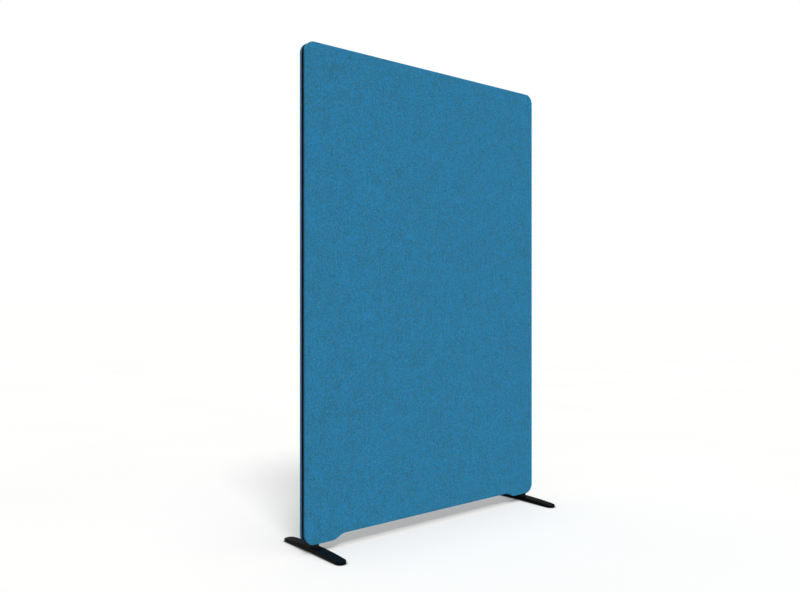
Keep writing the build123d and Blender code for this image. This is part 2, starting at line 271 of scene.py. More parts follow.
@dataclass(frozen=True)
class MelangeFelt(Finish):
    """Wool felt of stock-dyed fibres in blue and grey-green, woven, then fulled until the weave closes.

    It gives the eye an even matt blue with a fine irregular mottle of darker, greyer specks, and
    from near by a mat of fine fibres that lie in all directions.
    """

    name: str = "fulled_melange_wool_felt"
    colour: str = "#2583B2"
    bright_fibre: str = "#249AE7"
    light_fibre: str = "#258EC8"
    shade_fibre: str = "#267694"
    dark_fibre: str = "#296372"
    grey_fibre: str = "#649074"
    tuft_mm: float = 2.0  # tangles of like fibres, which show as specks
    tuft_roughness: float = 0.6
    cloud_mm: float = 34.0  # slow drift of the blend
    cloud_share: float = 0.09
    streak_mm: float = 1.8  # carding leaves the blend in faint streaks up the cloth
    streak_stretch: float = 0.035
    streak_share: float = 0.13
    fibre_mm: float = 0.3
    fibre_length: float = 9.0  # as a multiple of the thickness
    fibre_curl: float = 0.8
    fibre_ends: Pair = (0.42, 0.78)  # heights between which the top fibres lie
    fibre_share: float = 0.3
    fibre_lie: ClassVar[tuple[Triple, ...]] = ((0.3, 0.4, 0.0), (-0.4, 1.3, 0.5), (0.2, -1.0, 1.1))
    grey_mm: float = 2.6  # undyed tufts that were blended in
    grey_ends: Pair = (0.42, 0.72)
    grey_share: float = 0.44
    grey_seed: float = 5.0
    blend_middle: float = 0.49
    blend_spread: float = 0.052
    blend_steps: ClassVar[tuple[float, ...]] = (-1.1, -0.4, 0.0, 0.4, 1.1)  # times the spread
    nap_strength: float = 0.6
    nap_depth: float = 0.25 * MM
    nap_fibre_share: float = 0.7
    roughness: float = 0.95
    gloss_level: float = 0.05
    sheen: float = 0.04
    sheen_tint: str = "#7FB0CC"

    def fibres(self, nodes: SurfaceNodes, point: Socket) -> Socket:
        """Fine fibres, laid over each other in several directions.

        Args:
            nodes: The material's nodes.
            point: Where on the cloth.

        Returns:
            The output that holds how high the top fibre lies, from 0 to 1.
        """
        top = None
        for turn in self.fibre_lie:
            settings = {"vector_type": "TEXTURE", "Rotation": turn, "Scale": (1.0, 1.0, self.fibre_length)}
            along = nodes.add("Mapping", settings, {"Vector": point}).outputs["Vector"]
            layer = nodes.noise(along, self.fibre_mm, Detail=1.0, Distortion=self.fibre_curl)
            if top is not None:
                layer = nodes.add("Math", {"operation": "MAXIMUM"}, {0: top, 1: layer}).outputs["Value"]
            top = layer
        return nodes.spread(top, 0.0, 1.0, *self.fibre_ends)

    def shade(self, nodes: SurfaceNodes) -> None:
        """Blend the dyed fibres by tangles, clouds and streaks, and raise the nap.

        Args:
            nodes: The material's nodes.
        """
        point = nodes.place()
        tufts = nodes.noise(point, self.tuft_mm, Roughness=self.tuft_roughness)
        clouds = nodes.noise(point, self.cloud_mm)
        streaks = nodes.noise(nodes.place((1.0, 1.0, self.streak_stretch)), self.streak_mm, Detail=1.0)
        fibres = self.fibres(nodes, point)
        blend = nodes.mix(self.streak_share, tufts, streaks)
        blend = nodes.mix(self.cloud_share, blend, clouds)
        blend = nodes.mix(self.fibre_share, blend, fibres)
        colours = self.dark_fibre, self.shade_fibre, self.colour, self.light_fibre, self.bright_fibre
        places = [self.blend_middle + self.blend_spread * step for step in self.blend_steps]
        dyed = nodes.ramp(blend, *zip(places, colours))
        undyed = nodes.noise(point, self.grey_mm, noise_dimensions="4D", W=self.grey_seed)
        sparse = nodes.spread(undyed, 0.0, self.grey_share, *self.grey_ends)
        grey = {"data_type": "RGBA", COLOUR_B: linear(self.grey_fibre)}
        cloth = nodes.add("Mix", grey, {0: sparse, COLOUR_A: dyed}).outputs[MIXED_COLOUR]
        height = nodes.mix(self.nap_fibre_share, tufts, fibres)
        links = {"Base Color": cloth, "Normal": nodes.relief(height, self.nap_strength, self.nap_depth)}
        values = {"Roughness": self.roughness, "IOR": 1.45, "Specular IOR Level": self.gloss_level}
        values |= {"Sheen Weight": self.sheen, "Sheen Roughness": 0.6, "Sheen Tint": linear(self.sheen_tint)}
        nodes.feed(links, values)


@dataclass(frozen=True)
class GrainedFinish(Finish):
    """A finish of two close colours that follow one pattern, over a relief that follows another."""

    fleck: str = "#808080"
    tone_places: Pair = (0.35, 0.7)  # of colour and fleck, on the pattern
    grain_mm: float = 1.0
    grain_detail: float = 2.0
    grain_curl: float = 0.0
    grain_strength: float = 0.3
    grain_depth: float = 0.1 * MM
    roughness: float = 0.5
    gloss_play: Pair | None = None  # how far roughness falls and rises, if it does
    edge_flow: float = 0.0  # radius that the light sees on sharp edges

    def patterns(self, nodes: SurfaceNodes) -> tuple[Socket, Socket]:
        """Make the patterns that colour and relief follow.

        Args:
            nodes: The material's nodes.

        Returns:
            The outputs that hold the two.
        """
        detail = {"Detail": self.grain_detail, "Distortion": self.grain_curl}
        grain = nodes.noise(nodes.place(), self.grain_mm, **detail)
        return grain, grain

    def values(self) -> dict[str, object]:
        """Constant values of the shader's own sockets."""
        return {"Roughness": self.roughness}

    def shade(self, nodes: SurfaceNodes) -> None:
        """Let colour, gloss and relief follow their patterns.

        Args:
            nodes: The material's nodes.
        """
        tone, height = self.patterns(nodes)
        links = {
            "Base Color": nodes.ramp(tone, *zip(self.tone_places, (self.colour, self.fleck))),
            "Normal": nodes.relief(height, self.grain_strength, self.grain_depth, self.edge_flow),
        }
        if self.gloss_play:
            links["Roughness"] = nodes.spread(tone, *(self.roughness + play for play in self.gloss_play))
        nodes.feed(links, self.values())


@dataclass(frozen=True)
class WovenTape(GrainedFinish):
    """Black polyester zip tape in a dense herringbone weave: matt, with fine ribs across."""

    name: str = "woven_polyester_zip_tape"
    colour: str = "#0D0D0E"
    fleck: str = "#141416"
    grain_mm: float = 0.8
    grain_strength: float = 0.6
    grain_depth: float = 0.2 * MM
    rib_share: float = 0.5
    roughness: float = 0.85

    def patterns(self, nodes: SurfaceNodes) -> tuple[Socket, Socket]:
        """Make yarns of slightly uneven black, and the ribs of the weave.

        Args:
            nodes: The material's nodes.

        Returns:
            The outputs that hold yarns and weave.
        """
        point = nodes.place()
        yarns = nodes.noise(point, self.grain_mm)
        ribs = nodes.wave(point, self.grain_mm, bands_direction="DIAGONAL", Distortion=1.5)
        return yarns, nodes.mix(self.rib_share, yarns, ribs)

    def values(self) -> dict[str, object]:
        """Yarn throws back little light of its own."""
        return {"Roughness": self.roughness, "Specular IOR Level": 0.1}


@dataclass(frozen=True)
class PlainPolymer(GrainedFinish):
    """A plastic or rubber, moulded, drawn or baked on: even colour with a faint grain in its gloss."""

    colour: str = "#1A1A1C"
    fleck: str = "#222225"
    tone_places: Pair = (0.3, 0.75)
    grain_mm: float = 0.6
    grain_detail: float = 3.0
    grain_strength: float = 0.4
    grain_depth: float = 0.03 * MM
    roughness: float = 0.45
    gloss_play: Pair = (-0.05, 0.07)
    gloss_level: float = 0.5

    def values(self) -> dict[str, object]:
        """The gloss of a smooth polymer."""
        return {"IOR": 1.5, "Specular IOR Level": self.gloss_level}


@dataclass(frozen=True)
class PowderCoat(PlainPolymer):
    """Black polyester powder coat, baked on steel: half gloss, with faint orange peel and soft edges.

    Seen low over the floor it mirrors the panel as a bluish black.
    """

    name: str = "half_gloss_black_powder_coat"
    colour: str = "#080809"
    fleck: str = "#0B0B0C"
    tone_places: Pair = (0.35, 0.7)
    grain_mm: float = 2.2
    grain_detail: float = 2.0
    grain_strength: float = 0.35
    grain_depth: float = 0.06 * MM
    roughness: float = 0.2
    gloss_play: Pair = (-0.04, 0.06)
    gloss_level: float = 0.03
    edge_flow: float = 0.6 * MM  # the melt pulls back from sharp edges and rounds them


@dataclass(frozen=True)
class CoatedMetal(GrainedFinish):
    """Turned, cast or cold-headed metal with a thin plated or blackened skin and cloudy wear."""

    name: str = "black_oxide_steel"
    colour: str = "#2A2B2D"
    fleck: str = "#3A3B3E"
    tone_places: Pair = (0.4, 0.72)
    wear_mm: float = 4.0
    grain_mm: float = 0.5
    grain_strength: float = 0.25
    grain_depth: float = 0.03 * MM
    metallic: float = 0.9
    roughness: float = 0.38
    gloss_play: Pair = (-0.06, 0.1)
    edge_flow: float = 0.2 * MM

    def patterns(self, nodes: SurfaceNodes) -> tuple[Socket, Socket]:
        """Clouds of wear, and a fine grain."""
        point = nodes.place()
        return nodes.noise(point, self.wear_mm, Detail=4.0), nodes.noise(point, self.grain_mm)

    def values(self) -> dict[str, object]:
        """How far the metal shows through its skin."""
        return {"Metallic": self.metallic}


@dataclass(frozen=True)
class PlanedWood(GrainedFinish):
    """Planed, unfinished wood: pale, matt, with the year rings as long bands along the grain."""

    name: str = "planed_pine"
    colour: str = "#D9B98A"
    fleck: str = "#B98B55"
    tone_places: Pair = (0.2, 0.9)
    ring_mm: float = 6.0
    ring_waviness: float = 5.0
    grain_mm: float = 0.7
    grain_detail: float = 3.0
    grain: Grain = Grain.ALONG_X
    roughness: float = 0.7

    def patterns(self, nodes: SurfaceNodes) -> tuple[Socket, Socket]:
        """Make year rings and pores, both drawn out along the grain.

        Args:
            nodes: The material's nodes.

        Returns:
            The outputs that hold rings and pores.
        """
        point = nodes.place(self.grain.value)
        rings = {"wave_type": "RINGS", "rings_direction": "Y", "Distortion": self.ring_waviness}
        pores = nodes.noise(point, self.grain_mm, Detail=self.grain_detail)
        return nodes.wave(point, self.ring_mm, Detail=self.grain_detail, **rings), pores

    def values(self) -> dict[str, object]:
        """The low gloss of bare wood."""
        return {"Roughness": self.roughness, "IOR": 1.5, "Specular IOR Level": 0.3}


@dataclass(frozen=True)
class NeedledFelt(GrainedFinish):
    """Needled polyester felt or fleece: flecked, very matt, with a deep fibrous surface."""

    name: str = "needled_polyester_felt"
    colour: str = "#9A9EA0"
    fleck: str = "#63676A"
    tone_places: Pair = (0.65, 0.35)
    grain_mm: float = 2.5
    grain_detail: float = 5.0
    grain_curl: float = 1.0
    grain_strength: float = 0.7
    grain_depth: float = 0.6 * MM
    roughness: float = 0.95

    def values(self) -> dict[str, object]:
        """Loose fibres catch a little light at a glance."""
        return {"Roughness": self.roughness, "Specular IOR Level": 0.1, "Sheen Weight": 0.2}


@dataclass(frozen=True)
class StudioFloor(Finish):
    """Matt pale grey vinyl floor of a photo studio, lit until it is white to the eye.

    A little light of its own keeps the shadows pale, and it throws only some of its light back up,
    as a floor with dark flags laid out beyond the picture does. Its colour carries painted shade where
    floor and foot nearly touch.
    """

    name: str = "matt_pale_studio_floor"
    colour: str = "#BEBEBD"
    drift: str = "#BCBCBB"
    drift_mm: float = 900.0
    lift_strength: float = 0.175
    contact_reach: float = 30 * MM  # no lift within this distance under what stands on the floor
    painted_contact_shade_reach: float = 8 * MM  # painted shade: the floor's colour darkens to black within this distance where floor and foot nearly touch
    painted_contact_shade_open: float = 0.4  # painted shade: open share below which the floor's colour is black
    bounce_share: float = 0.12
    reach_samples: int = 8

    def open_share(self, nodes: SurfaceNodes, reach: float) -> Socket:
        """How open the floor lies, from 0 to 1, to things overhead within that reach."""
        settings = {"samples": self.reach_samples, "Distance": reach}
        return nodes.add("AmbientOcclusion", settings).outputs["AO"]

    def scaled(self, nodes: SurfaceNodes, source: Socket, factor: float) -> Socket:
        """A value times a constant factor."""
        return nodes.add("Math", {"operation": "MULTIPLY", 1: factor}, {0: source}).outputs["Value"]

    def shade(self, nodes: SurfaceNodes) -> None:
        """Set an even matt grey with a trace of unevenness and painted contact shade, and hold its bounced
        light back.

        Args:
            nodes: The material's nodes.
        """
        uneven = nodes.noise(nodes.place(), self.drift_mm, Detail=1.0)
        # painted shade: near the feet the floor's colour is mixed towards black by how closed in it lies
        lit = nodes.spread(self.open_share(nodes, self.painted_contact_shade_reach), start=self.painted_contact_shade_open)
        sources = {0: lit, COLOUR_B: nodes.ramp(uneven, (0.3, self.drift), (0.7, self.colour))}
        floor_colour_with_painted_shade = nodes.add("Mix", {"data_type": "RGBA", COLOUR_A: BLACK}, sources).outputs[MIXED_COLOUR]
        lift = self.scaled(nodes, self.open_share(nodes, self.contact_reach), self.lift_strength)
        values = {"Roughness": 1.0, "Specular IOR Level": 0.0, "Emission Color": WHITE}
        nodes.feed({"Base Color": floor_colour_with_painted_shade, "Emission Strength": lift}, values)
        bounced = nodes.add("LightPath").outputs["Is Diffuse Ray"]
        held = self.scaled(nodes, bounced, 1 - self.bounce_share)
        flag = nodes.add("BsdfDiffuse", {"Color": BLACK}).outputs["BSDF"]
        mixed = nodes.add("MixShader", {}, {0: held, 1: nodes.shader.outputs["BSDF"], 2: flag})
        nodes.tree.links.new(mixed.outputs["Shader"], nodes.tree.nodes["Material Output"].inputs["Surface"])


COIL_NYLON = PlainPolymer(
    name="drawn_nylon_zip_coil", colour="#0D0D0E", fleck="#141416", roughness=0.5, gloss_level=0.12
)
GLIDE_RUBBER = PlainPolymer(
    name="moulded_black_rubber", colour="#1B1B1B", fleck="#242424", roughness=0.75, grain_depth=0.06 * MM
)
ZIP_METAL = CoatedMetal(
    name="black_enamelled_zinc", colour="#1D1D20", fleck="#28282C", metallic=0.2, roughness=0.35
)
BOLT_STEEL = CoatedMetal()
INSERT_STEEL = CoatedMetal(
    name="zinc_plated_steel", colour="#A9ABA6", fleck="#8F9190", metallic=1.0, roughness=0.32
)
FELT = MelangeFelt()
TAPE = WovenTape()
COAT = PowderCoat()
# Painted light: the spacers get a paler black than the feet's coat, which lifts them out of the shade under
# the panel; their gloss is a little more satin too.
SPACER_COAT_PAINTED_PALER = PowderCoat(
    name="satin_black_powder_coat_painted_paler", colour="#18181A", fleck="#1C1C1D", roughness=0.3, gloss_level=0.08
)
RAIL_WOOD = PlanedWood(name="planed_pine_rails", grain=Grain.ALONG_X)
STILE_WOOD = PlanedWood(name="planed_pine_stiles", grain=Grain.ALONG_Z)
DOWEL_WOOD = PlanedWood(
    name="planed_beech_dowels", colour="#D9B48C", fleck="#C79A6C", ring_mm=3.0, grain=Grain.ALONG_Z
)
ABSORBER = NeedledFelt()
FLEECE = NeedledFelt(name="bonded_polyester_fleece", colour="#ECECEA", fleck="#D2D3D2", grain_mm=4.0)


# ---- Meshes ----


class MeshDraft:
    """Points and faces gathered strip by strip, then made into one object."""

    def __init__(self) -> None:
        """Start with nothing."""
        self.points: list[np.ndarray] = []
        self.faces: list[tuple[int, ...]] = []
        self.count = 0

    def add_strip(
        self, rows: np.ndarray, rows_close: bool = False, columns_close: bool = False
    ) -> np.ndarray:
        """Join a grid of points by four-sided faces.

        Args:
            rows: Points as rows by columns by three.
            rows_close: Whether the last row joins the first.
            columns_close: Whether the last column joins the first.

        Returns:
            The points' numbers as rows by columns.
        """
        shape = rows.shape[:2]
        numbers = self.count + np.arange(math.prod(shape)).reshape(shape)
        self.points.append(rows.reshape(-1, 3))
        self.count += math.prod(shape)
        upper = np.vstack([numbers, numbers[:1]]) if rows_close else numbers
        upper = np.hstack([upper, upper[:, :1]]) if columns_close else upper
        quads = np.stack([upper[:-1, :-1], upper[:-1, 1:], upper[1:, 1:], upper[1:, :-1]], axis=-1)
        self.faces.extend(map(tuple, quads.reshape(-1, 4).tolist()))
        return numbers

    def add_body(self, rows: np.ndarray, rows_close: bool = False) -> None:
        """Join a grid of points into a closed body, with a flat face at each of its two ends.

        Args:
            rows: Points as rows by columns by three.
            rows_close: Whether it runs on from the last row to the first, and ends at the first and
                last column, rather than the other way about.
        """
        numbers = self.add_strip(rows, rows_close=rows_close, columns_close=not rows_close)
        ends = numbers.T if rows_close else numbers
        self.faces += [tuple(ends[0].tolist()), tuple(ends[-1][::-1].tolist())]

    def make(self, name: str, finish: Finish, smooth: bool = True) -> Piece:
        """Make the object, with its faces turned outward.

        Args:
            name: The piece's name.
            finish: What it is made of.
            smooth: Whether light runs smoothly over the faces.

        Returns:
            The new object, at the origin.
        """
        mesh = bpy.data.meshes.new(name)
        mesh.from_pydata(np.concatenate(self.points).tolist(), [], self.faces)
        work = bmesh.new()
        work.from_mesh(mesh)
        bmesh.ops.recalc_face_normals(work, faces=work.faces)
        work.to_mesh(mesh)
        work.free()
        mesh.polygons.foreach_set("use_smooth", [smooth] * len(mesh.polygons))
        mesh.materials.append(finish.material())
        return add_object(name, mesh)


def add_object(name: str, data: bpy.types.ID) -> Piece:
    """Put a new object into the scene.

    Args:
        name: Its name.
        data: Its mesh, lamp or camera.

    Returns:
        The object.
    """
    made = bpy.data.objects.new(name, data)
    bpy.context.scene.collection.objects.link(made)
    return made


def stand_in(piece: Piece, node: str) -> None:
    """Let a new piece of the panel stand for one of the frame's solids.

    Args:
        piece: The piece.
        node: The solid's node.
    """
    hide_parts(node)
    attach(piece, "panel")
    LOG.info("%s: %d faces", piece.name, len(piece.data.polygons))


def dress_nodes(finishes: dict[str, Finish]) -> None:
    """Give nodes that are carried over from the frame their finishes.

    Args:
        finishes: Node names, each with what it is made of.
    """
    for name, finish in finishes.items():
        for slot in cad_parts[name].material_slots:
            slot.material = finish.material()
        LOG.info("%s: dressed", name)


def smooth_step(share: np.ndarray) -> np.ndarray:
    """A soft rise from 0 to 1 as share goes from 0 to 1."""
    held = np.clip(share, 0.0, 1.0)
    return held * held * (3.0 - 2.0 * held)


# ---- The panel's outline ----


Path = list[tuple[float, float, float, float]]  # X, Z and the two parts of the outward direction


@dataclass
class PanelOutline:
    """The panel's outline, with the outward direction at each point.

    It starts in the middle of the lower edge and goes up the left side, over the top and down the
    right side. Every arc keeps its centre in a parallel outline, so one that lies further in is
    the same points, moved against their outward directions.
    """

    corner_radius: float = 32 * MM
    notch_rise: float = 15 * MM  # the lower edge steps up by this between the feet
    notch_inset: float = 119.5 * MM  # end of the panel to the middle of the step
    notch_blend_radius: float = 52 * MM
    arc_step: float = 1.2 * MM
    run_step: float = 14 * MM
    fine_step: float = 0.75 * MM  # beside the feet, for the bolt's hole
    points: np.ndarray = field(init=False)
    outward: np.ndarray = field(init=False)
    travel: np.ndarray = field(init=False)
    half_width: float = field(init=False)
    half_depth: float = field(init=False)
    low: float = field(init=False)
    top: float = field(init=False)

    def __post_init__(self) -> None:
        """Take the panel's size from the frame and lay the points out."""
        lows, highs = zip(*(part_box(f"{side.word}_cover") for side in Side))
        low, high = Vector(map(min, *lows)), Vector(map(max, *highs))
        self.half_width = high.x
        self.low, self.top = low.z, high.z
        self.half_depth = high.y
        right = self.right_half()
        left = [(-x, z, -nx, nz) for x, z, nx, nz in right]
        loop = np.array(left + right[::-1][1:-1])
        self.points, self.outward = loop[:, :2], loop[:, 2:]
        steps = np.linalg.norm(np.diff(self.points, axis=0), axis=1)
        self.travel = np.concatenate([[0.0], np.cumsum(steps)])

    def right_half(self) -> Path:
        """Lay out the points from the middle of the lower edge to the middle of the top.

        Returns:
            The points, with their outward directions.
        """
        turn = math.acos(1 - self.notch_rise / (2 * self.notch_blend_radius))
        half_run = self.notch_blend_radius * math.sin(turn)
        step_x = self.half_width - self.notch_inset
        corner_x = self.half_width - self.corner_radius
        high = self.low + self.notch_rise
        down = -math.pi / 2
        path: Path = []
        self.add_run(path, (0.0, high), (step_x - half_run, high), (0.0, -1.0), self.run_step)
        inner = (step_x - half_run, high - self.notch_blend_radius)
        self.add_arc(path, inner, self.notch_blend_radius, math.pi / 2, math.pi / 2 - turn, flip=True)
        outer = (step_x + half_run, self.low + self.notch_blend_radius)
        self.add_arc(path, outer, self.notch_blend_radius, down - turn, down)
        self.add_run(path, (outer[0], self.low), (corner_x, self.low), (0.0, -1.0), self.fine_step)
        self.add_arc(path, (corner_x, self.low + self.corner_radius), self.corner_radius, down, 0.0)
        side_low, side_high = self.low + self.corner_radius, self.top - self.corner_radius
        side = self.half_width
        self.add_run(path, (side, side_low), (side, side_high), (1.0, 0.0), self.run_step)
        self.add_arc(path, (corner_x, side_high), self.corner_radius, 0.0, math.pi / 2)
        self.add_run(path, (corner_x, self.top), (0.0, self.top), (0.0, 1.0), self.run_step)
        path.append((0.0, self.top, 0.0, 1.0))
        return path

    def add_run(self, path: Path, start: Pair, end: Pair, outward: Pair, step: float) -> None:
        """Add a straight stretch without its last point.

        Args:
            path: The list that grows.
            start: Where it starts.
            end: Where it ends.
            outward: The direction away from the panel.
            step: The most between two points.
        """
        pieces = max(1, math.ceil(math.dist(start, end) / step))
        for place in range(pieces):
            share = place / pieces
            path.append((*(a + (b - a) * share for a, b in zip(start, end)), *outward))

    def add_arc(
        self, path: Path, centre: Pair, radius: float, start: float, end: float, flip: bool = False
    ) -> None:
        """Add an arc without its last point.

        Args:
            path: The list that grows.
            centre: The arc's centre.
            radius: Its radius.
            start: The angle where it starts, in radians.
            end: The angle where it ends.
            flip: Whether the panel lies outside the arc, as where the step curves in.
        """
        pieces = max(2, math.ceil(radius * abs(end - start) / self.arc_step))
        turned = -1.0 if flip else 1.0
        for place in range(pieces):
            angle = start + (end - start) * place / pieces
            across, up = math.cos(angle), math.sin(angle)
            path.append((centre[0] + radius * across, centre[1] + radius * up, turned * across, turned * up))

    def rows(self, inset: np.ndarray, depth: np.ndarray, side: Side) -> np.ndarray:
        """Points on outlines that lie further in, at some distance from the panel's middle plane.

        Args:
            inset: Distance inward, as rows by outline points, or rows by one.
            depth: Distance from the middle plane, shaped alike.
            side: The half that the points lie on.

        Returns:
            Points as rows by outline points by three.
        """
        inset, depth = np.broadcast_arrays(inset, depth)
        inset = inset * np.ones(len(self.points))
        flat = self.points[None] - inset[..., None] * self.outward[None]
        across = side.value * depth * np.ones(len(self.points))
        return np.stack([flat[..., 0], across, flat[..., 1]], axis=-1)

    def at(self, travel: np.ndarray) -> tuple[np.ndarray, np.ndarray]:
        """Find points and outward directions at distances along the outline.

        Args:
            travel: Distances from the middle of the lower edge, going left.

        Returns:
            The points and the directions, each as X and Z.
        """
        points, outward = (
            np.stack([np.interp(travel, self.travel, values[:, k]) for k in (0, 1)], axis=-1)
            for values in (self.points, self.outward)
        )
        return points, outward / np.linalg.norm(outward, axis=-1, keepdims=True)

    def travel_at(self, axis: int, value: float, right: bool, below: float) -> float:
        """Find how far along the outline a place low on one of its sides is.

        Args:
            axis: 0 to find it by its X, 1 by its Z.
            value: Its X or Z.
            right: Whether it lies on the right side.
            below: A height over the floor that it lies under.

        Returns:
            The distance along the outline.
        """
        x, z = self.points.T
        near = (z < below) & ((x > 0) if right else (x < 0))
        order = np.argsort(self.points[near, axis])
        return float(np.interp(value, self.points[near, axis][order], self.travel[near][order]))


# ---- The felt cover ----


@dataclass
class FeltCover:
    """The two felt halves that are pulled over the panel and meet at the zip and at the lower seam."""

    outline: PanelOutline
    felt: float = 1 * MM
    edge_round: float = 1.0 * MM  # felt drawn tight over a crisp wooden edge
    inner_round: float = 0.3 * MM
    zip_gap: float = 11.6 * MM
    hem_width: float = 2.8 * MM
    hem_thickness: float = 1.2 * MM  # two layers, pressed
    hem_fall: float = 0.1 * MM  # the run in which two layers become one
    hem_swell: float = 1.05  # the single layer there, against its thickness
    seam_gap: float = 0.15 * MM
    zip_end_x: float = 477 * MM
    zip_end_run: float = 1.6 * MM  # the hems part over this length
    zip_end_cover: float = 0.8 * MM  # and the tapes' ends lie this far under them
    foot_x: float = 460 * MM
    bolt_hole_radius: float = 4.3 * MM
    face_support: float = 3 * MM
    arc_pieces: int = 6
    nose_pieces: int = 8

    def zip_span(self) -> Pair:
        """Where the zip starts beside the left foot and where it ends beside the right one."""
        low = self.outline.low + self.outline.corner_radius
        return tuple(self.outline.travel_at(0, x, x > 0, low) for x in (-self.zip_end_x, self.zip_end_x))

    def hem_line(self) -> np.ndarray:
        """Lay out where the hem ends, as it parts for the zip and for the feet's bolts.

        Returns:
            The distance from the middle plane at each point of the outline.
        """
        start, end = self.zip_span()
        travel = self.outline.travel
        into_zip = np.minimum(travel - start, end - travel) - self.zip_end_cover
        zipped = smooth_step(into_zip / self.zip_end_run)
        hem = self.seam_gap + (self.zip_gap / 2 - self.seam_gap) * zipped
        x, z = self.outline.points.T
        aside = np.abs(x) - self.foot_x
        by_foot = (z < self.outline.low + MM) & (np.abs(aside) < self.bolt_hole_radius)
        hole = np.sqrt(np.maximum(self.bolt_hole_radius**2 - aside**2, 0.0)) * by_foot
        return np.maximum(hem, hole)

    def skin(self) -> tuple[np.ndarray, np.ndarray]:
        """The half's section all round, from the face over the edge to the hem and back inside.

        Returns:
            Inset and depth, each as rows by outline points.
        """
        hem = self.hem_line()
        half, radius, nose = self.outline.half_depth, self.edge_round, self.hem_thickness / 2
        even = np.ones_like(hem)
        inset, depth = [(radius + self.face_support) * even], [half * even]
        quarter = np.linspace(0.0, math.pi / 2, self.arc_pieces + 1)
        for angle in quarter:
            inset.append(radius * (1 - math.sin(angle)) * even)
            depth.append((half - radius * (1 - math.cos(angle))) * even)
        for angle in np.linspace(0.0, math.pi, self.nose_pieces + 1):
            inset.append(nose * (1 - math.cos(angle)) * even)
            depth.append(hem + nose * (1 - math.sin(angle)))
        hem_end = hem + self.hem_width
        inner = self.inner_round
        inset += [self.hem_thickness * even, self.hem_swell * self.felt * even, self.felt * even]
        depth += [hem_end, hem_end + self.hem_fall, (half - self.felt - inner) * even]
        for angle in quarter[-2::-1]:
            inset.append((self.felt + inner * (1 - math.sin(angle))) * even)
            depth.append((half - self.felt - inner * (1 - math.cos(angle))) * even)
        inset.append((radius + self.face_support) * even)
        depth.append((half - self.felt) * even)
        return np.array(inset), np.array(depth)

    def build(self, side: Side) -> Piece:
        """Make one half as a closed skin of felt.

        Args:
            side: Which half.

        Returns:
            The half.
        """
        draft = MeshDraft()
        draft.add_body(self.outline.rows(*self.skin(), side))
        return draft.make(f"{side.word}_felt_cover", FELT)

    def place(self) -> None:
        for side in Side:
            half = self.build(side)
            stand_in(half, f"{side.word}_cover")


# ---- The zip ----


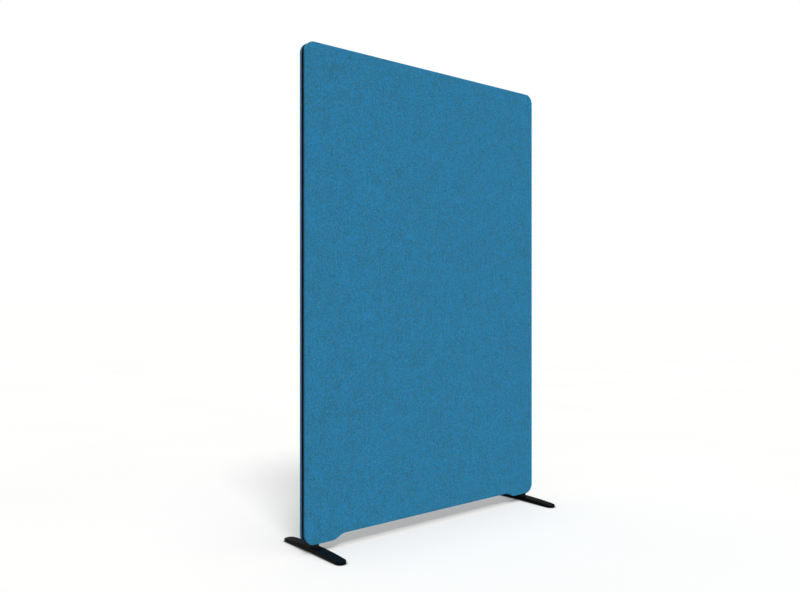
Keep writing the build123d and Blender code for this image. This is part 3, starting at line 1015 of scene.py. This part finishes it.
@dataclass
class EdgeZip:
    """The zip between the two halves: tapes, meshed coils, stops, slider and pull."""

    outline: PanelOutline
    cover: FeltCover
    tape_inset: float = 1.8 * MM
    tape_thickness: float = 0.6 * MM
    tape_rim: float = 0.15 * MM  # bevel along both of its edges
    tape_inner_edge: float = 0.15 * MM
    tape_outer_edge: float = 8.0 * MM
    rib_inset: float = 0.35 * MM  # the tape's corded rib, which fills the gap up to the hem
    rib_from: float = 4.45 * MM
    rib_to: float = 5.78 * MM
    rib_round: float = 0.2 * MM
    end_lift: float = 0.58 * MM  # the tapes' ends bend up to the hems that cover them
    end_lift_run: float = 1.2 * MM
    coil_pitch: float = 2.0 * MM
    coil_wire: float = 0.68 * MM
    coil_middle: float = 1.45 * MM  # from the middle plane
    coil_half_width: float = 1.35 * MM
    coil_inset: float = 0.95 * MM
    coil_half_height: float = 0.48 * MM
    points_per_turn: int = 6
    wire_sides: int = 4
    stop_length: float = 3.0 * MM
    closed_end_z: float = 60 * MM

    def tape(self, side: Side) -> Piece:
        """Make one tape as a thin strip that follows the edge.

        Args:
            side: Which half it is sewn to.

        Returns:
            The tape.
        """
        start, end = self.cover.zip_span()
        travel = self.outline.travel
        along = np.concatenate([[start], travel[(travel > start) & (travel < end)], [end]])
        points, outward = self.outline.at(along)
        raised = np.interp(along, travel, self.cover.hem_line()) >= self.rib_to
        lift = 1 - smooth_step(np.minimum(along - start, end - along) / self.end_lift_run)
        top = self.tape_inset - self.end_lift * lift
        bottom = top + self.tape_thickness
        near, far = self.tape_inner_edge, self.tape_outer_edge
        rim = self.tape_rim
        section = [(top, near + rim)]
        crown, ease = np.where(raised, self.rib_inset, top), np.where(raised, self.rib_round, 0.0)
        section += [(top, self.rib_from), (crown + ease, self.rib_from), (crown, self.rib_from + ease)]
        section += [(crown, self.rib_to - ease), (crown + ease, self.rib_to), (top, self.rib_to)]
        section += [(top, far - rim), (top + rim, far), (bottom - rim, far)]
        section += [(bottom, far - rim), (bottom, near + rim), (bottom - rim, near), (top + rim, near)]
        rows, even = [], np.ones(len(along))
        for inset, depth in section:
            flat = points - (inset * even)[:, None] * outward
            rows.append(np.stack([flat[:, 0], side.value * depth * even, flat[:, 1]], axis=-1))
        draft = MeshDraft()
        draft.add_body(np.array(rows), rows_close=True)
        return draft.make(f"{side.word}_woven_zip_tape", TAPE, smooth=False)

    def coil(self, side: Side) -> Piece:
        """Make one coil as a flattened helix whose turns reach between those of the other.

        Args:
            side: Which tape it is sewn to.

        Returns:
            The coil.
        """
        start, end = self.cover.zip_span()
        last = self.outline.travel_at(1, self.closed_end_z, True, self.outline.top / 2)
        first = start + self.stop_length
        turns = int((min(last, end) - first) / self.coil_pitch)
        angle = np.arange(turns * self.points_per_turn + 1) * math.tau / self.points_per_turn
        shift = 0.0 if side is Side.FRONT else self.coil_pitch / 2
        travel = first + shift + angle / math.tau * self.coil_pitch
        points, outward = self.outline.at(np.minimum(travel, last))
        across, up = np.cos(angle), np.sin(angle)
        depth = self.coil_middle - self.coil_half_width * across
        flat = points - (self.coil_inset - self.coil_half_height * up)[:, None] * outward
        line = np.stack([flat[:, 0], side.value * depth, flat[:, 1]], axis=-1)
        away = np.stack([outward[:, 0] * up, -side.value * across, outward[:, 1] * up], axis=-1)
        ahead = np.gradient(line, axis=0)
        ahead /= np.linalg.norm(ahead, axis=1, keepdims=True)
        away -= np.sum(away * ahead, axis=1, keepdims=True) * ahead
        away /= np.linalg.norm(away, axis=1, keepdims=True)
        beside = np.cross(ahead, away)
        rows = []
        for number in range(self.wire_sides):
            turn = (number + 0.5) * math.tau / self.wire_sides
            rows.append(line + self.coil_wire / 2 * (math.cos(turn) * away + math.sin(turn) * beside))
        draft = MeshDraft()
        draft.add_body(np.array(rows), rows_close=True)
        return draft.make(f"{side.word}_nylon_zip_coil", COIL_NYLON)

    def place(self) -> None:
        """Make tapes and coils, and dress the stops, the slider and its pull."""
        for side in Side:
            stand_in(self.tape(side), f"{side.word}_zip_tape")
            stand_in(self.coil(side), f"{side.word}_zip_coil")
        dress_nodes(dict.fromkeys(("zip_stops", "zip_slider", "zip_pull"), ZIP_METAL))


# ---- What the cover hides ----


@dataclass
class InnerPanel:
    """The wooden frame, the absorbing slabs in its two fields and the fleece over both."""

    outline: PanelOutline
    fleece_rim_inset: float = 4.8 * MM
    fleece_foot_inset: float = 2.9 * MM
    fleece_ease: float = 0.05 * MM
    slab_round: float = 3 * MM
    slab_arc_pieces: int = 4
    slab_ease: float = 0.2 * MM
    woods: ClassVar[dict[str, Finish]] = {
        **dict.fromkeys(("top_rail", "bottom_rail", "middle_rail"), RAIL_WOOD),
        **dict.fromkeys(("left_stile", "right_stile"), STILE_WOOD),
        "frame_dowels": DOWEL_WOOD,
    }

    def fleece(self, side: Side) -> Piece:
        """Make the thin layer between frame and felt.

        Args:
            side: Which face it lies on.

        Returns:
            The layer.
        """
        low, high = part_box(f"{side.word}_wadding")
        near, far = sorted((abs(low.y), abs(high.y)))
        near, far = near + self.fleece_ease, far - self.fleece_ease
        foot, rim = self.fleece_foot_inset, self.fleece_rim_inset
        inset = np.array([[foot * 2], [foot], [rim], [rim * 2]])
        depth = np.array([[near], [near], [far], [far]])
        draft = MeshDraft()
        draft.add_body(self.outline.rows(inset, depth, side))
        return draft.make(f"{side.word}_fleece_wadding", FLEECE, smooth=False)

    def slab(self, node: str) -> Piece:
        """Make one absorbing slab with the soft edges of cut felt.

        Args:
            node: The solid that it stands for.

        Returns:
            The slab.
        """
        low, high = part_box(node)
        work = bmesh.new()
        bmesh.ops.create_cube(work, size=1.0)
        size = [b - a - 2 * self.slab_ease for a, b in zip(low, high)]
        bmesh.ops.scale(work, vec=size, verts=work.verts)
        bmesh.ops.translate(work, vec=(low + high) / 2, verts=work.verts)
        rounding = {"offset": self.slab_round, "segments": self.slab_arc_pieces, "profile": 0.5}
        bmesh.ops.bevel(work, geom=work.edges[:], affect="EDGES", **rounding)
        mesh = bpy.data.meshes.new(node)
        work.to_mesh(mesh)
        work.free()
        mesh.materials.append(ABSORBER.material())
        return add_object(f"{node}_slab", mesh)

    def place(self) -> None:
        """Dress the frame, and put fleece and slabs in the place of their solids."""
        dress_nodes(self.woods)
        for side in Side:
            layer = self.fleece(side)
            stand_in(layer, f"{side.word}_wadding")
        for node in ("upper_core", "lower_core"):
            slab = self.slab(node)
            stand_in(slab, node)


# ---- The feet ----


@dataclass
class SwivelFeet:
    """The arched bars, their glides, and the spacers, washers, bolts and inserts that hold them."""

    finishes: ClassVar[dict[str, Finish]] = {
        **dict.fromkeys(("left_foot", "right_foot"), COAT),
        **dict.fromkeys(("left_glides", "right_glides"), GLIDE_RUBBER),
        **dict.fromkeys(("washers", "foot_bolts"), BOLT_STEEL),
        "spacers": SPACER_COAT_PAINTED_PALER,
        "threaded_inserts": INSERT_STEEL,
    }

    def place(self) -> None:
        """Dress all the pieces."""
        dress_nodes(self.finishes)


# ---- Studio ----


@dataclass(frozen=True)
class SoftLight:
    """A far lamp behind a large diffuser."""

    name: str
    strength: float
    height: float  # degrees over the floor
    aside: float  # degrees from straight before the panel, towards its right end
    spread: float  # degrees across, which is what softens the shadows
    distance: ClassVar[float] = 4.0  # where it hangs; it lights the same from anywhere

    def place(self) -> None:
        """Hang the lamp."""
        lamp = bpy.data.lights.new(self.name, "SUN")
        lamp.energy = self.strength
        lamp.angle = math.radians(self.spread)
        hung = add_object(self.name, lamp)
        height, aside = math.radians(self.height), math.radians(self.aside)
        level = math.cos(height)
        towards = Vector((math.sin(aside) * level, -math.cos(aside) * level, math.sin(height)))
        hung.rotation_euler = towards.to_track_quat("Z", "Y").to_euler()
        hung.location = towards * self.distance


@dataclass
class Studio:
    """White studio: floor, a large light before the panel and one over it, and the camera."""

    floor_half: float = 60.0
    floor_tiles: int = 8
    sky_strength: float = 0.46
    mirrored_strength: float = 0.2  # the dark half of the studio, which gloss mirrors
    key: SoftLight = SoftLight("front_softbox", 2.6, 52.0, -26.0, 17.5)
    overhead: SoftLight = SoftLight("overhead_softbox", 1.62, 86.0, 0.0, 31.5)
    lens: float = 35.0
    sensor: float = 36.0
    camera_turn: float = 39.974  # degrees from the panel's normal
    camera_place: Triple = (-1.73987, -1.92154, 0.7545)

    def floor(self) -> Piece:
        """Make the floor.

        Returns:
            The floor, which is not part of the object.
        """
        reach = np.linspace(-self.floor_half, self.floor_half, self.floor_tiles + 1)
        across, along = np.meshgrid(reach, reach)
        draft = MeshDraft()
        draft.add_strip(np.stack([across, along, np.zeros_like(across)], axis=-1))
        floor = draft.make("studio_floor", StudioFloor(), smooth=False)
        return floor

    def light(self) -> None:
        """Set the white surroundings and the broad light from the front."""
        scene = bpy.context.scene
        scene.world = bpy.data.worlds.new("white_surroundings")
        scene.world.use_nodes = True
        tree = scene.world.node_tree
        back = tree.nodes["Background"]
        back.inputs["Color"].default_value = WHITE
        back.inputs["Strength"].default_value = self.sky_strength
        rays = add_node(tree, "LightPath")
        surround = back.outputs["Background"]
        for ray, strength in (("Is Glossy Ray", self.mirrored_strength), ("Is Camera Ray", 1.0)):
            seen = add_node(tree, "Background", {"Color": WHITE, "Strength": strength})
            links = {0: rays.outputs[ray], 1: surround, 2: seen.outputs["Background"]}
            surround = add_node(tree, "MixShader", {}, links).outputs["Shader"]
        tree.links.new(surround, tree.nodes["World Output"].inputs["Surface"])
        self.key.place()
        self.overhead.place()
        scene.view_settings.view_transform = "Standard"
        scene.view_settings.look = "None"

    def camera(self) -> None:
        """Put the camera where the photograph was taken from."""
        lens = bpy.data.cameras.new("camera")
        lens.lens, lens.sensor_width = self.lens, self.sensor
        lens.clip_end = self.floor_half * 4
        camera = add_object("camera", lens)
        camera.location = self.camera_place
        camera.rotation_euler = (math.pi / 2, 0.0, -math.radians(self.camera_turn))
        bpy.context.scene.camera = camera

    def place(self) -> None:
        """Make camera, light and floor."""
        self.camera()
        self.light()
        LOG.info("%s: staged", self.floor().name)


def main() -> None:
    """Build every sub-assembly in order."""
    logging.basicConfig(level=logging.INFO, format="%(name)s %(message)s")
    Studio().place()
    outline = PanelOutline()
    cover = FeltCover(outline)
    InnerPanel(outline).place()
    EdgeZip(outline, cover).place()
    cover.place()
    SwivelFeet().place()


if __name__ == "__main__":
    main()
